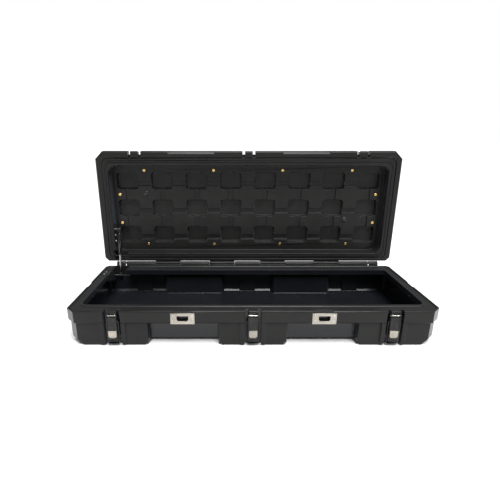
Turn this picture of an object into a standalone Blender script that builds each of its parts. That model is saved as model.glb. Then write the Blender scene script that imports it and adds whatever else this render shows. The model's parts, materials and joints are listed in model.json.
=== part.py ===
"""Long low equipment case: moulded base and lid, five-part hinge, gas strut and three draw latches.

X runs along the case, Y from the latches to the hinge, +Z up. The origin is on the underside of
the centre foot. The lid is drawn closed and turned open about the hinge by its pivot empty.
Units are metres.
"""

import math

import bmesh
import bpy
from mathutils import Matrix, Vector

# Base shell
HALF_LENGTH = 0.700
HALF_DEPTH = 0.260
RIM_Z = 0.144
BAND_Z = 0.095
BAND_STEP = 0.008
CORNER = 0.035
REAR_CORNER = 0.016
WALL = 0.005
LIP_FRONT = 0.060
LIP_SIDE = 0.046
LIP_BACK = 0.068
LIP_DROP = 0.025
RIM_SKIN = 0.0065
FLOOR_Z = 0.016
RAISED_Z = 0.011
END_CHAMFER = 0.024
FOOT_EDGES = (0.118, 0.405)
RECESS_DEPTH = 0.036
CHANNEL_DROP = 0.0025

# Lid shell
SEAM_Z = 0.1445
LID_BULGE = 0.0055
LID_BAND = 0.044
LID_PANEL = 0.055
LID_SKIN = 0.005
POCKET_DEPTH = 0.022
POCKET_SIZE = (0.104, 0.081)
POCKET_X = (0.0825, 0.2474, 0.4129, 0.578)
POCKET_REACH = (0.3975, 0.2665, 0.1345)
POCKET_DRAFT = 0.008
POCKET_CORNER = 0.014
GASKET_WIDTH = 0.0034

# Hinge
HINGE = Vector((0.0, 0.272, 0.154))
KNUCKLE_R = 0.008
BORE_R = 0.0043
PIN_R = 0.004
LID_KNUCKLES = ((-0.456, -0.332), (-0.188, -0.064), (0.064, 0.188), (0.332, 0.456))
BASE_KNUCKLES = ((-0.600, -0.457), (-0.331, -0.189), (-0.063, 0.063), (0.189, 0.331), (0.457, 0.600))
LEAF_Y = 0.2603
LEAF_THICK = 0.006
LEAF_LENGTH = 0.042
STRIP_Y = 0.2606
STRIP_TOP = 0.1495
COVER_END = 0.648

# Latches
LATCH_X = (-0.525, 0.0, 0.525)
LEVER_PIVOT = Vector((0.0, -0.256, 0.124))
BAIL_PIVOT = Vector((0.0, -0.254, 0.099))
LEVER_HALF = 0.019
LEVER_FACE_Y = -0.263
LEVER_END_Z = 0.021
SHEET = 0.0025
LATCH_PIN_R = 0.003
WIRE_R = 0.0025
BAIL_HALF = 0.0225
BAIL_LENGTH = 0.090
CHANNEL_Y = -0.236
CHANNEL_HALF = 0.031
NOTCH_IN = 0.0175
NOTCH_OUT = 0.0295
PAD_HALF = 0.0475

# Lock plates
LOCK_X = (-0.262, 0.262)
LOCK_HALF = 0.0445
LOCK_Z = (0.0922, 0.1358)

# Gas strut
STRUT_X = -0.6248
STRUT_BASE = Vector((STRUT_X, 0.235, 0.1015))
STRUT_LID = Vector((STRUT_X, 0.102, 0.157))
STRUT_OPEN = 0.2261
STRUT_LEAN = 10.2
ROD_R = 0.0045
CYLINDER_R = 0.0075
CYLINDER_LENGTH = 0.108
FITTING = 0.014
ROD_REACH = 0.115
EYE_R = 0.0075

# Lid fittings: distance along the case and reach from the hinge line
INSERTS = [(sx * x, reach) for reach in (0.447, 0.085) for x in (0.495, 0.1645) for sx in (-1, 1)]
INSERTS += [(sx * 0.6185, reach) for reach in (0.333, 0.194) for sx in (-1, 1)]
DOMES = ((-0.492, 0.338), (0.477, 0.2095))

GAP = 0.0003
SIDES = 12
PLANES = {"X": (1, 2, 0), "Y": (0, 2, 1), "Z": (0, 1, 2)}


def clear_scene():
    """Remove every object already in the scene."""
    for obj in list(bpy.data.objects):
        bpy.data.objects.remove(obj, do_unlink=True)


def make_material(name, colour, roughness, metallic):
    """Return a Principled material."""
    material = bpy.data.materials.new(name)
    material.use_nodes = True
    shader = material.node_tree.nodes["Principled BSDF"]
    shader.inputs["Base Color"].default_value = (*colour, 1.0)
    shader.inputs["Roughness"].default_value = roughness
    shader.inputs["Metallic"].default_value = metallic
    return material


def prism(bm, axis, points, low, high):
    """Extrude a closed outline, drawn across an axis, from low to high along it."""
    first, second, along = PLANES[axis]
    corners = []
    for point in points:
        place = [0.0, 0.0, 0.0]
        place[first], place[second], place[along] = point[0], point[1], low
        corners.append(bm.verts.new(place))
    face = bm.faces.new(corners)
    grown = bmesh.ops.extrude_face_region(bm, geom=[face])
    step = Vector((0.0, 0.0, 0.0))
    step[along] = high - low
    moved = [item for item in grown["geom"] if isinstance(item, bmesh.types.BMVert)]
    bmesh.ops.translate(bm, verts=moved, vec=step)


def box(bm, low, high):
    """Add a box between two corners."""
    outline = ((low[0], low[1]), (high[0], low[1]), (high[0], high[1]), (low[0], high[1]))
    prism(bm, "Z", outline, low[2], high[2])


def arc(centre, radius, start, end, steps):
    """Return points along an arc, angles in degrees."""
    turns = [math.radians(start + (end - start) * step / steps) for step in range(steps + 1)]
    return [(centre[0] + radius * math.cos(t), centre[1] + radius * math.sin(t)) for t in turns]


def circle(centre, radius, sides=SIDES):
    """Return the points of a closed circle."""
    return arc(centre, radius, 0.0, 360.0, sides)[:-1]


def compass(quarters):
    """Return the level unit vector at a number of quarter turns from +X."""
    return Vector((math.cos(quarters * math.pi / 2), math.sin(quarters * math.pi / 2), 0.0))


def ring(half, front, back, z, corner, rounded=True, steps=5, rear=None):
    """Return a rectangle's points at one height, its corners rounded or cut at 45 degrees."""
    points = []
    rear = corner if rear is None else rear
    sides = ((1, back, 1, rear), (-1, back, 1, rear), (-1, front, -1, corner), (1, front, -1, corner))
    for turn, (sx, edge, sy, corner) in enumerate(sides):
        centre = Vector((sx * (half - corner), edge - sy * corner, z))
        for step in range(steps + 1):
            share = step / steps
            if rounded:
                aim = compass(turn + share)
            else:
                aim = compass(turn).lerp(compass(turn + 1), share)
            points.append(centre + corner * aim)
    return points


def round_ring(radius, z, sides=SIDES):
    """Return a circle's points about the Z axis at one height."""
    return [Vector((x, y, z)) for x, y in circle((0.0, 0.0), radius, sides)]


def loft(bm, rings, closed=False):
    """Skin rings of equal count, capped at both ends or closed back to the first ring."""
    loops = [[bm.verts.new(point) for point in points] for points in rings]
    pairs = list(zip(loops, loops[1:]))
    if closed:
        pairs.append((loops[-1], loops[0]))
    for lower, upper in pairs:
        for i in range(len(lower)):
            j = (i + 1) % len(lower)
            bm.faces.new((lower[i], lower[j], upper[j], upper[i]))
    if not closed:
        bm.faces.new(loops[0])
        bm.faces.new(loops[-1])


def begin(bm):
    """Turn a bmesh into a working object at the origin."""
    bmesh.ops.recalc_face_normals(bm, faces=bm.faces)
    mesh = bpy.data.meshes.new("work")
    bm.to_mesh(mesh)
    bm.free()
    work = bpy.data.objects.new("work", mesh)
    bpy.context.scene.collection.objects.link(work)
    return work


def combine(work, tool, operation="DIFFERENCE"):
    """Cut a shape out of a working object, or join it on with UNION."""
    cutter = begin(tool)
    step = work.modifiers.new("step", "BOOLEAN")
    step.operation = operation
    step.solver = "EXACT"
    step.object = cutter
    graph = bpy.context.evaluated_depsgraph_get()
    shape = bpy.data.meshes.new_from_object(work.evaluated_get(graph))
    work.modifiers.clear()
    work.data = shape
    bpy.data.objects.remove(cutter, do_unlink=True)


def finish(work, material, pivot=(0.0, 0.0, 0.0)):
    """Take a working object's mesh, measured from its pivot, with smooth round faces."""
    mesh = work.data
    mesh.transform(Matrix.Translation(-Vector(pivot)))
    mesh.materials.clear()
    mesh.materials.append(material)
    mesh.shade_smooth()
    mesh.set_sharp_from_angle(angle=math.radians(32.0))
    bpy.data.objects.remove(work, do_unlink=True)
    return mesh


def place(name, mesh, parent=None, location=(0.0, 0.0, 0.0)):
    """Put one named piece in the scene."""
    obj = bpy.data.objects.new(name, mesh)
    bpy.context.scene.collection.objects.link(obj)
    obj.parent = parent
    obj.location = location
    return obj


def pivot_empty(name, location, turn=0.0, parent=None):
    """Add an empty on a joint's axis, turned about X by an angle in degrees."""
    empty = bpy.data.objects.new(name, None)
    bpy.context.scene.collection.objects.link(empty)
    empty.parent = parent
    empty.location = location
    empty.rotation_euler = (math.radians(turn), 0.0, 0.0)
    return empty


def inset_corner(corner, inset):
    """Return a 45-degree corner's size after its outline moves in."""
    return corner - (2.0 - math.sqrt(2.0)) * inset


def cut_ring(half, front, back, z, inset):
    """Return a moulding's outline at one height: wide cuts in front, narrow ones at the back."""
    front_cut, rear_cut = inset_corner(CORNER, inset), inset_corner(REAR_CORNER, inset)
    return ring(half, front, back, z, front_cut, rounded=False, rear=rear_cut)


def base_outer():
    """Outer form: feet level, chamfered ends, lower wall, proud band and eased rim."""
    bm = bmesh.new()
    low_half = HALF_LENGTH - BAND_STEP
    low_depth = HALF_DEPTH - BAND_STEP
    levels = (
        (low_half - END_CHAMFER, low_depth, 0.0, BAND_STEP),
        (low_half, low_depth, END_CHAMFER, BAND_STEP),
        (low_half, low_depth, BAND_Z - 0.004, BAND_STEP),
        (HALF_LENGTH, HALF_DEPTH, BAND_Z, 0.0),
        (HALF_LENGTH, HALF_DEPTH, RIM_Z - 0.003, 0.0),
        (HALF_LENGTH - 0.003, HALF_DEPTH - 0.003, RIM_Z, 0.003),
    )
    loft(bm, [cut_ring(half, -depth, depth, z, inset) for half, depth, z, inset in levels])
    return bm


def base_hollow():
    """Inner space: mouth between the lips, room under each lip, walls and chamfered floor."""
    bm = bmesh.new()
    wall_half = HALF_LENGTH - BAND_STEP - WALL
    wall_depth = HALF_DEPTH - BAND_STEP - WALL
    inset = BAND_STEP + WALL
    mouth = (HALF_LENGTH - LIP_SIDE, LIP_FRONT - HALF_DEPTH, HALF_DEPTH - LIP_BACK)
    skirt = (mouth[0] + WALL, mouth[1] - WALL, mouth[2] + WALL)
    lip_z = RIM_Z - LIP_DROP
    loft(bm, [
        ring(*mouth, RIM_Z + 0.006, 0.020),
        ring(*mouth, lip_z, 0.020),
        ring(*skirt, lip_z, 0.025),
        ring(*skirt, RIM_Z - RIM_SKIN, 0.025),
        cut_ring(wall_half, -wall_depth, wall_depth, RIM_Z - RIM_SKIN, inset),
        cut_ring(wall_half, -wall_depth, wall_depth, FLOOR_Z + 0.010, inset),
        cut_ring(wall_half - 0.010, 0.007 - wall_depth, wall_depth - 0.007, FLOOR_Z, inset),
    ])
    return bm


def wall_recess(bm, sx, sy, mouth_y, floor_y, low, high, grow):
    """Add the wedge-ended recess between two feet, or its jacket when grown."""
    near, far = FOOT_EDGES
    outline = [
        (sx * (near - grow), sy * mouth_y),
        (sx * (far + grow), sy * mouth_y),
        (sx * (far + grow - 0.016), sy * floor_y),
        (sx * (near - grow + 0.016), sy * floor_y),
    ]
    prism(bm, "Z", outline, low, high)


def base_pads():
    """Flush pads below the band beside each latch channel."""
    bm = bmesh.new()
    for x in LATCH_X:
        box(bm, (x - PAD_HALF, -HALF_DEPTH + 0.0002, 0.010), (x + PAD_HALF, -0.250, BAND_Z + 0.002))
    return bm


def base_jackets():
    """Material behind each recess, so that the wall keeps its thickness."""
    bm = bmesh.new()
    floor_y = HALF_DEPTH - BAND_STEP - RECESS_DEPTH - WALL
    for sx in (-1, 1):
        for sy in (-1, 1):
            wall_recess(bm, sx, sy, 0.250, floor_y, 0.0135, BAND_Z + 0.004, WALL)
    for x in LATCH_X:
        wide = CHANNEL_HALF + WALL
        box(bm, (x - wide, -0.250, 0.0135), (x + wide, CHANNEL_Y + WALL, 0.1395))
    for x in (-0.51, 0.0, 0.51):
        box(bm, (x - 0.038, 0.238, 0.0135), (x + 0.038, 0.250, BAND_Z + 0.004))
    for x in LOCK_X:
        box(bm, (x - 0.0265, -0.2535, 0.1000), (x + 0.0265, -0.2400, 0.1295))
    return bm


def base_recesses():
    """Outside recesses: wall recesses, latch and back channels, key tabs and the bracket's seat."""
    bm = bmesh.new()
    floor_y = HALF_DEPTH - BAND_STEP - RECESS_DEPTH
    for sx in (-1, 1):
        for sy in (-1, 1):
            wall_recess(bm, sx, sy, 0.300, floor_y, -0.010, BAND_Z - 0.0015, 0.0)
    for x in LATCH_X:
        box(bm, (x - CHANNEL_HALF, -0.290, -0.010), (x + CHANNEL_HALF, CHANNEL_Y, RIM_Z - 0.010))
    for x in (-0.51, 0.0, 0.51):
        box(bm, (x - 0.033, 0.243, -0.010), (x + 0.033, 0.290, BAND_Z - 0.0015))
    for x in LOCK_X:
        box(bm, (x - 0.0315, -0.290, RIM_Z - CHANNEL_DROP), (x + 0.0315, -0.225, RIM_Z + 0.010))
    box(bm, (-0.690, 0.120, RIM_Z - 0.004), (-0.648, 0.187, RIM_Z + 0.010))
    return bm


def base_rim_cuts():
    """Rim channel, raised bottoms between the feet, end grips and lock pockets."""
    bm = bmesh.new()
    low, high = RIM_Z - CHANNEL_DROP - 0.0001, RIM_Z + 0.010
    outer = (HALF_LENGTH - 0.012, 0.014 - HALF_DEPTH, HALF_DEPTH - 0.014)
    inner = (HALF_LENGTH - 0.039, 0.045 - HALF_DEPTH, HALF_DEPTH - 0.042)
    loft(bm, [
        ring(*outer, low, 0.024),
        ring(*outer, high, 0.024),
        ring(*inner, high, 0.030),
        ring(*inner, low, 0.030),
    ], closed=True)
    near, far = FOOT_EDGES
    for sx in (-1, 1):
        edges = sorted((sx * near, sx * far))
        box(bm, (edges[0], -0.300, -0.010), (edges[1], 0.300, RAISED_Z))
        edges = sorted((sx * (HALF_LENGTH - 0.007), sx * (HALF_LENGTH + 0.010)))
        box(bm, (edges[0], -0.019, BAND_Z - 0.010), (edges[1], 0.039, RIM_Z + 0.010))
    for x in LOCK_X:
        box(bm, (x - 0.0215, -0.290, 0.1045), (x + 0.0215, -0.245, 0.1245))
    return bm


def base_notches():
    """Bail notches through the rim and the strut's relief in the back lip."""
    bm = bmesh.new()
    for x in LATCH_X:
        for sx in (-1, 1):
            edges = sorted((x + sx * NOTCH_IN, x + sx * NOTCH_OUT))
            box(bm, (edges[0], -0.290, 0.128), (edges[1], CHANNEL_Y, RIM_Z + 0.010))
    box(bm, (-0.655, 0.168, BAND_Z + 0.001), (-0.585, 0.254, RIM_Z + 0.010))
    return bm


def base_shell():
    """Build the open base moulding."""
    work = begin(base_outer())
    combine(work, base_pads(), "UNION")
    combine(work, base_hollow())
    combine(work, base_jackets(), "UNION")
    combine(work, base_recesses())
    combine(work, base_rim_cuts())
    combine(work, base_notches())
    return work


def lid_outer():
    """Outer form of the lid, closed: eased seam edge, tall band, step and shallow dome."""
    bm = bmesh.new()
    back = HALF_DEPTH - GAP
    wide = HALF_LENGTH + LID_BULGE
    front = -HALF_DEPTH - LID_BULGE
    levels = (
        (HALF_LENGTH, -HALF_DEPTH, back, 0.0),
        (wide, front, back, 0.006),
        (wide, front, back, LID_BAND - 0.004),
        (wide - 0.004, front + 0.004, back - 0.004, LID_BAND),
        (0.672, -0.226, 0.240, LID_BAND),
        (0.664, -0.218, 0.232, LID_PANEL + LID_SKIN),
    )
    loft(bm, [cut_ring(half, near, far, SEAM_Z + z, 0.0) for half, near, far, z in levels])
    return bm


def lid_grid():
    """Return the centre of every pocket of the lid, closed."""
    return [(sx * x, HINGE.y - reach) for reach in POCKET_REACH for x in POCKET_X for sx in (-1, 1)]


def tapered(bm, centre, size, low, high, draft):
    """Add a block with rounded corners that narrows towards its top."""
    rings = []
    for z, shrink in ((low, 0.0), (high, draft)):
        x, y = (size[0] - shrink) / 2, (size[1] - shrink) / 2
        points = ring(x, -y, y, SEAM_Z + z, POCKET_CORNER - shrink / 4, steps=2)
        rings.append([point + Vector((centre[0], centre[1], 0.0)) for point in points])
    loft(bm, rings)


def lid_blocks(grow, low, high):
    """The grid of blocks outside, or of pockets inside when not grown."""
    bm = bmesh.new()
    size = (POCKET_SIZE[0] + grow, POCKET_SIZE[1] + grow)
    for centre in lid_grid():
        tapered(bm, centre, size, low, high, POCKET_DRAFT)
    return bm


def lid_rows(width, reach, low, high):
    """Straight runs along the case that join the pockets of each row."""
    bm = bmesh.new()
    for distance in POCKET_REACH:
        y = HINGE.y - distance + 0.013
        box(bm, (-reach, y - width / 2, SEAM_Z + low), (reach, y + width / 2, SEAM_Z + high))
    return bm


def lid_columns(width, low, high):
    """Straight runs across the case that join the pockets of each column."""
    bm = bmesh.new()
    front, back = HINGE.y - POCKET_REACH[0], HINGE.y - POCKET_REACH[-1]
    for x in POCKET_X:
        for sx in (-1, 1):
            middle = sx * x
            box(bm, (middle - width / 2, front, SEAM_Z + low), (middle + width / 2, back, SEAM_Z + high))
    return bm


def lid_hollow():
    """Inner space of the lid up to its panel."""
    bm = bmesh.new()
    loft(bm, [
        ring(0.650, -0.203, 0.222, SEAM_Z - 0.010, 0.041),
        ring(0.650, -0.198, 0.217, SEAM_Z + LID_PANEL, 0.041),
    ])
    return bm


def seam_ring(bm, side, front, back, width, low, high, corner):
    """Add a rectangular ring that follows the seam, set in from the lid's outline."""
    outer = (HALF_LENGTH - side, front - HALF_DEPTH, HALF_DEPTH - back)
    inner = (outer[0] - width, outer[1] + width, outer[2] - width)
    loft(bm, [
        ring(*outer, SEAM_Z + low, corner),
        ring(*outer, SEAM_Z + high, corner),
        ring(*inner, SEAM_Z + high, corner - width),
        ring(*inner, SEAM_Z + low, corner - width),
    ], closed=True)


def lid_grooves():
    """Two grooves in the seam land; the inner one holds the gasket."""
    bm = bmesh.new()
    seam_ring(bm, 0.022, 0.025, 0.012, 0.003, -0.010, 0.003, 0.030)
    seam_ring(bm, 0.034, 0.039, 0.024, 0.004, -0.010, 0.0045, 0.033)
    return bm


def lid_channels():
    """Latch channels in the lid's front, open at the top, and two finger scoops."""
    bm = bmesh.new()
    for x in LATCH_X:
        box(bm, (x - CHANNEL_HALF, -0.300, SEAM_Z + 0.010), (x + CHANNEL_HALF, CHANNEL_Y, SEAM_Z + 0.060))
    scoop = (
        (-0.300, SEAM_Z - 0.010),
        (-0.2535, SEAM_Z - 0.010),
        (-0.2535, SEAM_Z),
        (-0.2680, SEAM_Z + 0.045),
        (-0.300, SEAM_Z + 0.045),
    )
    for x in (-0.265, 0.265):
        prism(bm, "X", scoop, x - 0.1075, x + 0.1075)
    return bm


def lid_notches():
    """Bail notches through the seam land, strut relief in the back lip and insert holes."""
    bm = bmesh.new()
    for x in LATCH_X:
        for sx in (-1, 1):
            edges = sorted((x + sx * NOTCH_IN, x + sx * NOTCH_OUT))
            box(bm, (edges[0], -0.300, SEAM_Z - 0.010), (edges[1], CHANNEL_Y, SEAM_Z + 0.012))
    box(bm, (-0.655, 0.206, SEAM_Z - 0.010), (-0.590, 0.254, SEAM_Z + 0.036))
    for x, reach in INSERTS:
        top = SEAM_Z + LID_PANEL
        prism(bm, "Z", circle((x, HINGE.y - reach), 0.0043, 8), top - 0.004, top + 0.0032)
    return bm


def lid_shell():
    """Build the lid moulding as it lies when closed."""
    outside = LID_PANEL + LID_SKIN - 0.003
    work = begin(lid_outer())
    combine(work, lid_blocks(0.012, outside, LID_PANEL + POCKET_DEPTH + 0.006), "UNION")
    combine(work, lid_rows(0.034, 0.584, outside, 0.069), "UNION")
    combine(work, lid_columns(0.037, outside, 0.068), "UNION")
    combine(work, lid_hollow())
    combine(work, lid_blocks(0.0, 0.050, LID_PANEL + POCKET_DEPTH))
    combine(work, lid_rows(0.022, 0.578, 0.050, 0.064))
    combine(work, lid_columns(0.025, 0.050, 0.063))
    combine(work, lid_grooves())
    combine(work, lid_channels())
    combine(work, lid_notches())
    return work


def gasket():
    """Seal strip seated in the lid's inner groove, standing proud of the seam."""
    bm = bmesh.new()
    seam_ring(bm, 0.0343, 0.0393, 0.0243, GASKET_WIDTH, -0.0015, 0.0042, 0.0327)
    return begin(bm)


def knuckle(low, high, up):
    """Hinge knuckle with its leaf, below the axis for the base or above it for the lid."""
    bm = bmesh.new()
    outline = [(LEAF_Y, HINGE.z - LEAF_LENGTH), (LEAF_Y + LEAF_THICK, HINGE.z - LEAF_LENGTH)]
    outline += arc((HINGE.y, HINGE.z), KNUCKLE_R, 225.0, 510.0, 11)
    outline.append((LEAF_Y, HINGE.z + 0.002))
    if up:
        outline = [(y, 2.0 * HINGE.z - z) for y, z in outline]
    prism(bm, "X", outline, low, high)
    work = begin(bm)
    bore = bmesh.new()
    prism(bore, "X", circle((HINGE.y, HINGE.z), BORE_R), low - 0.01, high + 0.01)
    combine(work, bore)
    return work


def hinge_strip(low, high):
    """Leaf between two base knuckles, under the lid's knuckle."""
    bm = bmesh.new()
    box(bm, (low, STRIP_Y, HINGE.z - LEAF_LENGTH), (high, STRIP_Y + 0.003, STRIP_TOP))
    return begin(bm)


def hinge_cover(low, high):
    """End cover beside the outer knuckle, clear of the pin's head."""
    bm = bmesh.new()
    outline = [(LEAF_Y, HINGE.z - LEAF_LENGTH), (LEAF_Y + LEAF_THICK, HINGE.z - LEAF_LENGTH)]
    outline += arc((HINGE.y, HINGE.z), KNUCKLE_R, 225.0, 510.0, 11)
    outline.append((LEAF_Y, HINGE.z + 0.002))
    prism(bm, "X", outline, low, high)
    return begin(bm)


def hinge_pin():
    """Long hinge pin with a disc head at each end."""
    bm = bmesh.new()
    reach = BASE_KNUCKLES[-1][1]
    stations = ((0.0055, -0.0035), (0.0055, -0.0015), (PIN_R, -0.0015))
    rings = [round_ring(radius, -reach + z) for radius, z in stations]
    rings += [round_ring(radius, reach - z) for radius, z in reversed(stations)]
    loft(bm, rings)
    work = begin(bm)
    work.data.transform(Matrix.Translation(HINGE) @ Matrix.Rotation(math.pi / 2, 4, "Y"))
    return work


def latch_bracket():
    """Latch base plate with two ears that carry the lever's pin."""
    bm = bmesh.new()
    y, z = LEVER_PIVOT.y, LEVER_PIVOT.z
    back = CHANNEL_Y - GAP
    outline = [(back, 0.088), (back, z + 0.0045), (back - 0.002, z + 0.004)]
    outline += arc((y, z), 0.004, 90.0, 270.0, 6)
    outline += [(back - 0.0022, 0.112), (back - 0.0022, 0.088)]
    prism(bm, "X", outline, -0.0145, 0.0145)
    work = begin(bm)
    inside = bmesh.new()
    box(inside, (-0.012, -0.300, 0.050), (0.012, back - 0.0022, 0.150))
    combine(work, inside)
    combine(work, cross_hole(LEVER_PIVOT, LATCH_PIN_R + GAP))
    return work


def cross_hole(centre, radius):
    """Return a cutter for a hole along X."""
    bm = bmesh.new()
    prism(bm, "X", circle((centre.y, centre.z), radius, 10), -0.05, 0.05)
    return bm


def latch_pin():
    """Pin through the lever and the bracket's ears."""
    bm = bmesh.new()
    reach = LEVER_HALF + 0.0005
    prism(bm, "X", circle((LEVER_PIVOT.y, LEVER_PIVOT.z), LATCH_PIN_R, 10), -reach, reach)
    return begin(bm)


def latch_lever():
    """Pressed lever: a face with two side flanges, holes for both pivots and a rivet head."""
    bm = bmesh.new()
    y, z = LEVER_PIVOT.y, LEVER_PIVOT.z
    outline = [(LEVER_FACE_Y, LEVER_END_Z), (LEVER_FACE_Y, z)]
    outline += arc((y, z), -LEVER_FACE_Y + y, 180.0, 0.0, 6)[1:]
    outline += [(-0.2465, BAIL_PIVOT.z), (-0.2475, 0.088), (-0.256, 0.040), (-0.257, LEVER_END_Z)]
    prism(bm, "X", outline, -LEVER_HALF, LEVER_HALF)
    work = begin(bm)
    inner = LEVER_HALF - SHEET
    inside = bmesh.new()
    box(inside, (-inner, LEVER_FACE_Y + SHEET, 0.0), (inner, -0.200, 0.200))
    combine(work, inside)
    top = bmesh.new()
    box(top, (-inner, -0.300, z - 0.0045), (inner, -0.250, 0.200))
    combine(work, top)
    combine(work, cross_hole(LEVER_PIVOT, LATCH_PIN_R + GAP))
    combine(work, cross_hole(BAIL_PIVOT, WIRE_R + GAP))
    head = bmesh.new()
    prism(head, "Y", circle((0.0, 0.085), 0.005), LEVER_FACE_Y - 0.0012, LEVER_FACE_Y + 0.001)
    combine(work, head, "UNION")
    return work


def latch_plate():
    """Bright plate on the lever's face, with cut lower corners."""
    bm = bmesh.new()
    half, low, high = 0.0155, 0.036, 0.065
    outline = [(-half, high), (-half, low + 0.006), (0.006 - half, low)]
    outline += [(half - 0.006, low), (half, low + 0.006), (half, high)]
    prism(bm, "Y", outline, LEVER_FACE_Y - 0.0013, LEVER_FACE_Y - GAP)
    return begin(bm)


def wire(bm, path, radius, sides):
    """Sweep a round wire along a path that lies in the XZ plane."""
    points = [Vector(point) for point in path]
    across = Vector((0.0, 1.0, 0.0))
    rings = []
    for i, point in enumerate(points):
        before = (point - points[i - 1]).normalized() if i else (points[1] - point).normalized()
        after = (points[i + 1] - point).normalized() if i + 1 < len(points) else before
        side = (before + after).normalized().cross(across)
        stretch = 1.0 / math.sqrt((1.0 + before.dot(after)) / 2.0)
        turns = [2.0 * math.pi * step / sides for step in range(sides)]
        rings.append([point + radius * (across * math.cos(t) + side * stretch * math.sin(t)) for t in turns])
    loft(bm, rings)


def latch_bail():
    """Bail: a wire loop hung from the lever, hooked over the lid's catch when raised."""
    bm = bmesh.new()
    y, top = BAIL_PIVOT.y, BAIL_PIVOT.z
    low = top - BAIL_LENGTH
    half = [(0.0150, top)]
    half += arc((BAIL_HALF - 0.003, top - 0.003), 0.003, 90.0, 0.0, 2)
    half += arc((BAIL_HALF - 0.006, low + 0.006), 0.006, 0.0, -90.0, 3)
    path = [(x, y, z) for x, z in half]
    path += [(-x, y, z) for x, z in reversed(half)]
    wire(bm, path, WIRE_R, 8)
    return begin(bm)


def latch_catch():
    """Hooked catch in the lid's latch channel, drawn closed."""
    bm = bmesh.new()
    back = CHANNEL_Y - GAP
    outline = (
        (back, 0.012), (back, 0.0475), (back - 0.0022, 0.0475), (back - 0.0022, 0.041),
        (-0.2600, 0.041), (-0.2600, 0.0455), (-0.2620, 0.0455), (-0.2620, 0.039),
        (back - 0.0022, 0.039), (back - 0.0022, 0.012),
    )
    prism(bm, "X", [(y, SEAM_Z + z) for y, z in outline], -0.015, 0.015)
    return begin(bm)


def lock_plate():
    """Pressed plate on the band with a key opening and four rivet heads."""
    bm = bmesh.new()
    face = -HALF_DEPTH - 0.002
    low, high = LOCK_Z
    box(bm, (-LOCK_HALF, face, low), (LOCK_HALF, -HALF_DEPTH - GAP, high))
    work = begin(bm)
    opening = bmesh.new()
    outline = ((-0.0215, 0.1245), (-0.0215, 0.1105), (-0.0155, 0.1035))
    outline += tuple((-x, z) for x, z in reversed(outline))
    prism(opening, "Y", outline, -0.300, -0.200)
    combine(work, opening)
    rivets = bmesh.new()
    for x in (-0.036, 0.036):
        for z in (RIM_Z - 0.014, RIM_Z - 0.034):
            prism(rivets, "Y", circle((x, z - 0.004), 0.0035, 8), face - 0.001, face + 0.001)
    combine(work, rivets, "UNION")
    return work


def strut_rod():
    """Strut rod with its eye, drawn upwards from the base pivot."""
    bm = bmesh.new()
    stations = ((0.0055, 0.004), (0.0055, FITTING), (ROD_R, FITTING), (ROD_R, ROD_REACH))
    loft(bm, [round_ring(radius, z) for radius, z in stations])
    work = begin(bm)
    eye = bmesh.new()
    prism(eye, "X", circle((0.0, 0.0), EYE_R), -0.006, 0.006)
    combine(work, eye, "UNION")
    hole = bmesh.new()
    prism(hole, "X", circle((0.0, 0.0), ROD_R + GAP), -0.01, 0.01)
    combine(work, hole)
    return work


def strut_cylinder():
    """Strut cylinder, bored for the rod, with a closed eye at the lid's pivot."""
    bm = bmesh.new()
    low = STRUT_OPEN - 0.018 - CYLINDER_LENGTH
    high = low + CYLINDER_LENGTH
    stations = (
        (ROD_R + GAP, low + 0.100), (ROD_R + GAP, low), (CYLINDER_R - 0.001, low),
        (CYLINDER_R, low + 0.001), (CYLINDER_R, high - 0.002), (CYLINDER_R - 0.002, high),
        (0.0055, high), (0.0055, STRUT_OPEN - 0.003),
    )
    loft(bm, [round_ring(radius, z) for radius, z in stations])
    work = begin(bm)
    eye = bmesh.new()
    prism(eye, "X", circle((0.0, STRUT_OPEN), EYE_R), -0.0092, 0.0092)
    combine(work, eye, "UNION")
    return work


def bolt_heads(axis, places, low, high):
    """Return round bolt heads, their centres given across the axis."""
    bm = bmesh.new()
    for place_2d in places:
        prism(bm, axis, circle(place_2d, 0.0035, 8), low, high)
    return bm


def strut_base_bracket():
    """Angle plate on the left lip with the strut's lower stud."""
    bm = bmesh.new()
    top = RIM_Z - 0.0023
    plate = (
        (0.122, top), (0.118, 0.113), (0.165, 0.095), (0.212, 0.078),
        (0.240, 0.078), (0.2465, 0.086), (0.2465, top),
    )
    prism(bm, "X", plate, -0.6537, -0.6515)
    work = begin(bm)
    flange = bmesh.new()
    box(flange, (-0.684, 0.126, top - 0.0014), (-0.6525, 0.182, top - 0.0001))
    combine(work, flange, "UNION")
    combine(work, bolt_heads("Z", ((-0.673, 0.138), (-0.673, 0.170)), top - 0.001, top + 0.0008), "UNION")
    heads = ((0.129, 0.121), (0.165, 0.105), (0.218, 0.089))
    combine(work, bolt_heads("X", heads, -0.6525, -0.6495), "UNION")
    stud = bmesh.new()
    centre = (STRUT_BASE.y, STRUT_BASE.z)
    prism(stud, "X", circle(centre, ROD_R), -0.6525, -0.6170)
    combine(work, stud, "UNION")
    head = bmesh.new()
    prism(head, "X", circle(centre, 0.006), -0.6182, -0.6160)
    combine(work, head, "UNION")
    return work


def strut_lid_bracket():
    """Plate on the lid's left inner wall with the upper boss, drawn closed."""
    bm = bmesh.new()
    plate = (
        (0.179, 0.150), (0.075, 0.150), (0.070, 0.160),
        (0.088, 0.181), (0.150, 0.181), (0.179, 0.166),
    )
    prism(bm, "X", plate, -0.6497, -0.6475)
    work = begin(bm)
    boss = bmesh.new()
    prism(boss, "X", circle((STRUT_LID.y, STRUT_LID.z), 0.0065), -0.6485, -0.6345)
    combine(work, boss, "UNION")
    combine(work, bolt_heads("X", ((0.168, 0.158), (0.140, 0.172)), -0.6485, -0.6455), "UNION")
    return work


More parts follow.
